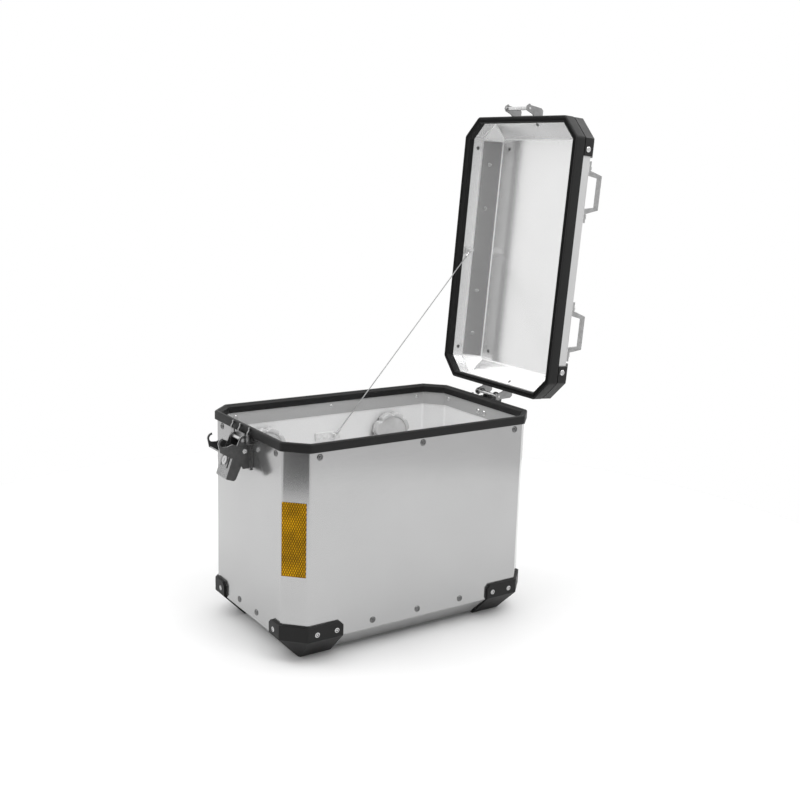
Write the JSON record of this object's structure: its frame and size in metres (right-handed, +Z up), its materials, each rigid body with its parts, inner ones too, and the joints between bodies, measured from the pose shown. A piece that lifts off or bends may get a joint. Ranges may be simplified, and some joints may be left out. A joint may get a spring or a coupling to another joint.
{
  "type": "motorcycle side case",
  "caption": "Eight-sided aluminium luggage case with an end-hinged lid held open by a cord, claw latches, lashing loops, black corner guards and clamp knobs inside.",
  "frame": {"origin": "centre of the case's inner floor", "axes": "+Z up, +X along the case towards the end the lid pivots on, +Y towards the carrier side"},
  "size_m": [0.6245, 0.2971, 0.8438],
  "materials": {
    "shell_aluminium": "brushed and clear anodised",
    "black_plastic": "fine moulded grain",
    "seal_rubber": "soft foam",
    "amber_reflector": "prismatic amber sheet",
    "latch_steel": "zinc plated",
    "bright_steel": "bright",
    "knob_plastic": "satin grey",
    "cord_coating": "thin clear coat on wire"
  },
  "bodies": {
    "case": {"case_shell": "shell_aluminium", "base_pan": "shell_aluminium", "case_rim": "black_plastic", "rim_band": "shell_aluminium", "reflector": "amber_reflector", "lanyard_case_anchor": "bright_steel", "lanyard_cord": "cord_coating", "left_latch_base": "latch_steel", "left_lever_pin": "bright_steel", "right_latch_base": "latch_steel", "right_lever_pin": "bright_steel", "left_knob_plate": "black_plastic", "right_knob_plate": "black_plastic", "corner_guard_front_left": "black_plastic", "corner_guard_front_right": "black_plastic", "corner_guard_back_left": "black_plastic", "corner_guard_back_right": "black_plastic"},
    "lid": {"lid_shell": "shell_aluminium", "lid_frame": "black_plastic", "lid_seal": "seal_rubber", "lanyard_lid_anchor": "bright_steel", "left_keeper": "latch_steel", "left_keeper_bar": "bright_steel", "right_keeper": "latch_steel", "right_keeper_bar": "bright_steel", "lid_cap_front_left": "black_plastic", "lid_cap_front_right": "black_plastic", "lid_cap_back_left": "black_plastic", "lid_cap_back_right": "black_plastic", "lashing_loop_front_left": "shell_aluminium", "lashing_loop_front_right": "shell_aluminium", "lashing_loop_back_left": "shell_aluminium", "lashing_loop_back_right": "shell_aluminium"},
    "left_lever": {"left_latch_lever": "latch_steel", "left_claw_rivet_front": "bright_steel", "left_claw_rivet_back": "bright_steel"},
    "left_claw": {"left_latch_claw": "latch_steel"},
    "left_lock": {"left_lock_cylinder": "bright_steel"},
    "left_clamp": {"left_knob": "knob_plastic", "left_knob_spindle": "bright_steel", "left_clamp_lug": "latch_steel"},
    "right_lever": {"right_latch_lever": "latch_steel", "right_claw_rivet_front": "bright_steel", "right_claw_rivet_back": "bright_steel"},
    "right_claw": {"right_latch_claw": "latch_steel"},
    "right_lock": {"right_lock_cylinder": "bright_steel"},
    "right_clamp": {"right_knob": "knob_plastic", "right_knob_spindle": "bright_steel", "right_clamp_lug": "latch_steel"}
  },
  "joints": [
    {"name": "lid_hinge", "type": "hinge", "parent": "case", "child": "lid", "pos_m": [0.2448, 0.008, 0.3415], "axis": [0, 1, 0], "range_deg": [-94.1, 0], "deforming": ["lanyard_cord"]},
    {"name": "left_lever", "type": "hinge", "parent": "case", "child": "left_lever", "pos_m": [-0.2408, 0.008, 0.3182], "axis": [0, 1, 0], "range_deg": [-19, 0]},
    {"name": "left_claw", "type": "hinge", "parent": "left_lever", "child": "left_claw", "pos_m": [-0.23925, 0.008, 0.3018], "axis": [0, 1, 0], "range_deg": [0, 68.3]},
    {"name": "left_lock", "type": "hinge", "parent": "left_lever", "child": "left_lock", "pos_m": [-0.24078, 0.011, 0.27832], "axis": [-0.9455, 0, 0.3256], "range_deg": [0, 90]},
    {"name": "right_lever", "type": "hinge", "parent": "case", "child": "right_lever", "pos_m": [0.2408, 0.008, 0.3182], "axis": [0, -1, 0], "range_deg": [0, 75]},
    {"name": "right_claw", "type": "hinge", "parent": "right_lever", "child": "right_claw", "pos_m": [0.234, 0.008, 0.3032], "axis": [0, -1, 0], "range_deg": [-45, 0]},
    {"name": "right_lock", "type": "hinge", "parent": "right_lever", "child": "right_lock", "pos_m": [0.2278, 0.011, 0.2805], "axis": [1, 0, 0], "range_deg": [0, 90]},
    {"name": "left_knob", "type": "hinge", "parent": "case", "child": "left_clamp", "pos_m": [-0.132, 0.13, 0.2585], "axis": [0, 1, 0], "range_deg": [0, 90]},
    {"name": "right_knob", "type": "hinge", "parent": "case", "child": "right_clamp", "pos_m": [0.12, 0.13, 0.2585], "axis": [0, 1, 0], "range_deg": [0, 90]}
  ],
  "couplings": [
    {"joint": "left_claw", "follows": "left_lever", "ratio": -3.5895},
    {"joint": "right_claw", "follows": "right_lever", "ratio": -0.59}
  ]
}
